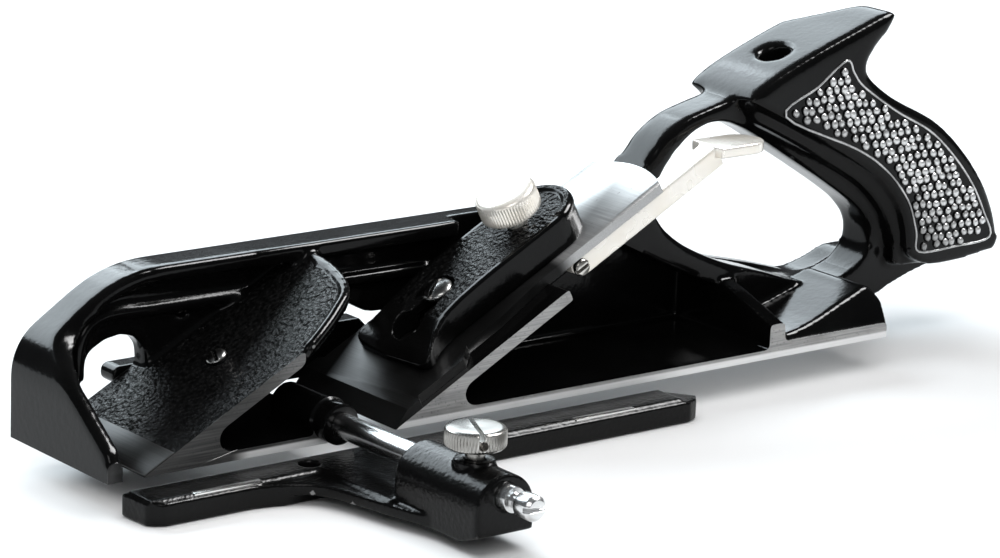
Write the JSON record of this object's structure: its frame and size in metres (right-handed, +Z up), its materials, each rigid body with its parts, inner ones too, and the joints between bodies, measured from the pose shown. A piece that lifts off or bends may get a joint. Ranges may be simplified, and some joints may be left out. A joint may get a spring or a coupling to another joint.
{
  "type": "rebate plane",
  "caption": "Cast-iron rebate plane with two cutter beds, lever cap, adjusting lever, sliding fence on an arm, depth stop, spur and an open rear handle.",
  "frame": {"origin": "on the sole plane, midway across the sole, straight under the axis of the fence arm", "axes": "+X from the toe to the heel, +Y from the fence side to the web side, +Z up from the sole"},
  "size_m": [0.291, 0.1302, 0.0904],
  "materials": {
    "enamel": "black gloss enamel with ground bare faces",
    "steel": "ground",
    "nickel": "plated"
  },
  "bodies": {
    "body": {"body_casting": "enamel", "main_fulcrum_screw": "nickel", "front_fulcrum_screw": "nickel", "lever_pivot_screw": "nickel", "fence_arm": "steel", "spur_screw": "steel"},
    "cutter": {"cutter": "steel"},
    "lever_cap": {"lever_cap": "enamel"},
    "cap_screw": {"lever_cap_thumbscrew": "nickel"},
    "adjuster": {"adjusting_lever": "nickel"},
    "fence": {"fence": "enamel"},
    "fence_screw": {"fence_thumbscrew": "nickel"},
    "depth_stop": {"depth_stop": "enamel"},
    "stop_screw": {"depth_stop_screw": "nickel", "depth_stop_washer": "steel"},
    "spur": {"spur": "steel"}
  },
  "joints": [
    {"name": "adjuster_pivot", "type": "hinge", "parent": "body", "child": "adjuster", "pos_m": [0.08017, -0.009, 0.02981], "axis": [0, 1, 0], "range_deg": [0, 10]},
    {"name": "cutter_slide", "type": "slide", "parent": "body", "child": "cutter", "axis": [0.8829, 0, 0.4695], "range_m": [0, 0.00051]},
    {"name": "lever_cap_slide", "type": "slide", "parent": "body", "child": "lever_cap", "axis": [0.8829, 0, 0.4695], "range_m": [0, 0.011]},
    {"name": "cap_screw_turn", "type": "hinge", "parent": "lever_cap", "child": "cap_screw", "pos_m": [0.06803, 0, 0.04306], "axis": [-0.4695, 0, 0.8829], "range_deg": [-180, 180]},
    {"name": "fence_slide", "type": "slide", "parent": "body", "child": "fence", "axis": [0, 1, 0], "range_m": [-0.008, 0.03]},
    {"name": "fence_screw_turn", "type": "hinge", "parent": "fence", "child": "fence_screw", "pos_m": [0, -0.07622, 0.017], "axis": [0, 0, 1], "range_deg": [-180, 180]},
    {"name": "depth_stop_slide", "type": "slide", "parent": "body", "child": "depth_stop", "axis": [0, 0, 1], "range_m": [-0.006, 0.006]},
    {"name": "stop_screw_turn", "type": "hinge", "parent": "body", "child": "stop_screw", "pos_m": [-0.017, 0.0285, 0.026], "axis": [0, 1, 0], "range_deg": [-180, 180]},
    {"name": "spur_turn", "type": "hinge", "parent": "body", "child": "spur", "pos_m": [-0.0005, 0.0204, 0.0052], "axis": [0, 1, 0], "range_deg": [-120, 120]}
  ],
  "couplings": [
    {"joint": "cutter_slide", "follows": "adjuster_pivot", "m_per_rad": 0.0029}
  ]
}
